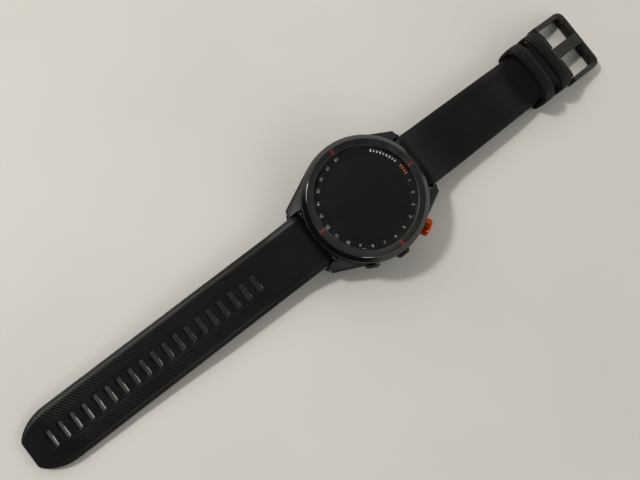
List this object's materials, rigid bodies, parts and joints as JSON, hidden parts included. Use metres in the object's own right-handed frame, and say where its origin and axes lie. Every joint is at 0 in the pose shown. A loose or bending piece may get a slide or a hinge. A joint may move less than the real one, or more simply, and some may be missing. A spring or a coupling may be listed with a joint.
{
  "type": "golf gps watch",
  "caption": "Round wristwatch for golf with a satellite receiver: dark bezel, flat display, side push buttons, slotted silicone strap and pin buckle.",
  "frame": {"origin": "centre of the sensor window's flat outer face, on the surface that the watch lies on", "axes": "+Y towards 12 o'clock and the buckle, +X towards 3 o'clock and the buttons, +Z out of the display"},
  "size_m": [0.0488, 0.261, 0.0148],
  "materials": {
    "case_polymer": "moulded, fine matte texture",
    "bezel_ceramic": "satin top with a polished outer chamfer",
    "lens_glass": "polished",
    "display_black": "switched off, glossy black",
    "sensor_window_black": "polished dark window",
    "strap_silicone": "matte silicone",
    "seal_rubber": "matte",
    "anodised_orange": "anodised orange-red",
    "steel": "brushed",
    "black_metal": "black coated steel",
    "black_polymer": "moulded",
    "tongue_black": "matte black coating",
    "gold": "gold plated",
    "board_green": "solder mask",
    "battery_foil": "laminated foil",
    "frame_alloy": "cast, plain",
    "flex_amber": "polyimide film"
  },
  "bodies": {
    "case": {"case_body": "case_polymer", "bezel": "bezel_ceramic", "lens": "lens_glass", "lens_gasket": "seal_rubber", "display_panel": "display_black", "display_flex": "flex_amber", "inner_frame": "frame_alloy", "main_board": "board_green", "shield_can": "steel", "gps_antenna": "gold", "battery": "battery_foil", "vibration_motor": "steel", "sensor_board": "board_green", "sensor_window": "sensor_window_black", "back_cover": "case_polymer", "back_gasket": "seal_rubber", "back_screw_1": "steel", "back_screw_2": "steel", "back_screw_3": "steel", "back_screw_4": "steel", "contact_block": "case_polymer", "charging_contact_1": "gold", "charging_contact_2": "gold", "charging_contact_3": "gold", "charging_contact_4": "gold", "lug_pin_long": "steel", "lug_pin_short": "steel", "lug_screw_long": "steel", "lug_screw_short": "steel", "start_button_spring": "steel", "start_button_seal": "seal_rubber", "start_button_sleeve": "steel", "start_button_switch": "steel", "menu_button_spring": "steel", "menu_button_seal": "seal_rubber", "menu_button_sleeve": "steel", "menu_button_switch": "steel", "back_button_spring": "steel", "back_button_seal": "seal_rubber", "back_button_sleeve": "steel", "back_button_switch": "steel"},
    "start_button": {"start_button_cap": "anodised_orange", "start_button_clip": "steel"},
    "menu_button": {"menu_button_cap": "black_metal", "menu_button_clip": "steel"},
    "back_button": {"back_button_cap": "black_metal", "back_button_clip": "steel"},
    "long_strap": {"long_strap": "strap_silicone", "strap_connector_long": "black_polymer", "latch_spring_long": "steel"},
    "long_latch": {"release_latch_long": "black_polymer"},
    "short_strap": {"short_strap": "strap_silicone", "strap_connector_short": "black_polymer", "latch_spring_short": "steel", "keeper_fixed": "strap_silicone", "buckle_pin": "steel"},
    "short_latch": {"release_latch_short": "black_polymer"},
    "keeper_free": {"keeper_free": "strap_silicone"},
    "buckle_frame": {"buckle_frame": "black_metal"},
    "buckle_tongue": {"buckle_tongue": "tongue_black"}
  },
  "joints": [
    {"name": "start_button_press", "type": "slide", "parent": "case", "child": "start_button", "axis": [-0.866, -0.5, 0], "range_m": [0, 0.0007], "stiffness_N_per_m": 1500, "deforming": ["start_button_spring"]},
    {"name": "menu_button_press", "type": "slide", "parent": "case", "child": "menu_button", "axis": [-1, 0, 0], "range_m": [0, 0.0006], "stiffness_N_per_m": 1500, "deforming": ["menu_button_spring"]},
    {"name": "back_button_press", "type": "slide", "parent": "case", "child": "back_button", "axis": [-0.866, 0.5, 0], "range_m": [0, 0.0006], "stiffness_N_per_m": 1500, "deforming": ["back_button_spring"]},
    {"name": "long_strap_hinge", "type": "hinge", "parent": "case", "child": "long_strap", "pos_m": [0, -0.025, 0.0056], "axis": [-1, 0, 0], "range_deg": [-70, 25]},
    {"name": "long_latch_slide", "type": "slide", "parent": "long_strap", "child": "long_latch", "axis": [0, -1, 0], "range_m": [0, 0.002], "stiffness_N_per_m": 400, "deforming": ["latch_spring_long"]},
    {"name": "short_strap_hinge", "type": "hinge", "parent": "case", "child": "short_strap", "pos_m": [0, 0.025, 0.0056], "axis": [1, 0, 0], "range_deg": [-70, 25]},
    {"name": "short_latch_slide", "type": "slide", "parent": "short_strap", "child": "short_latch", "axis": [0, 1, 0], "range_m": [0, 0.002], "stiffness_N_per_m": 400, "deforming": ["latch_spring_short"]},
    {"name": "keeper_slide", "type": "slide", "parent": "short_strap", "child": "keeper_free", "axis": [0, 1, 0], "range_m": [-0.042, 0.003]},
    {"name": "buckle_hinge", "type": "hinge", "parent": "short_strap", "child": "buckle_frame", "pos_m": [0, 0.0972, 0.0038], "axis": [1, 0, 0], "range_deg": [-60, 50]},
    {"name": "tongue_hinge", "type": "hinge", "parent": "buckle_frame", "child": "buckle_tongue", "pos_m": [0, 0.0972, 0.0038], "axis": [1, 0, 0], "range_deg": [0, 50]}
  ]
}
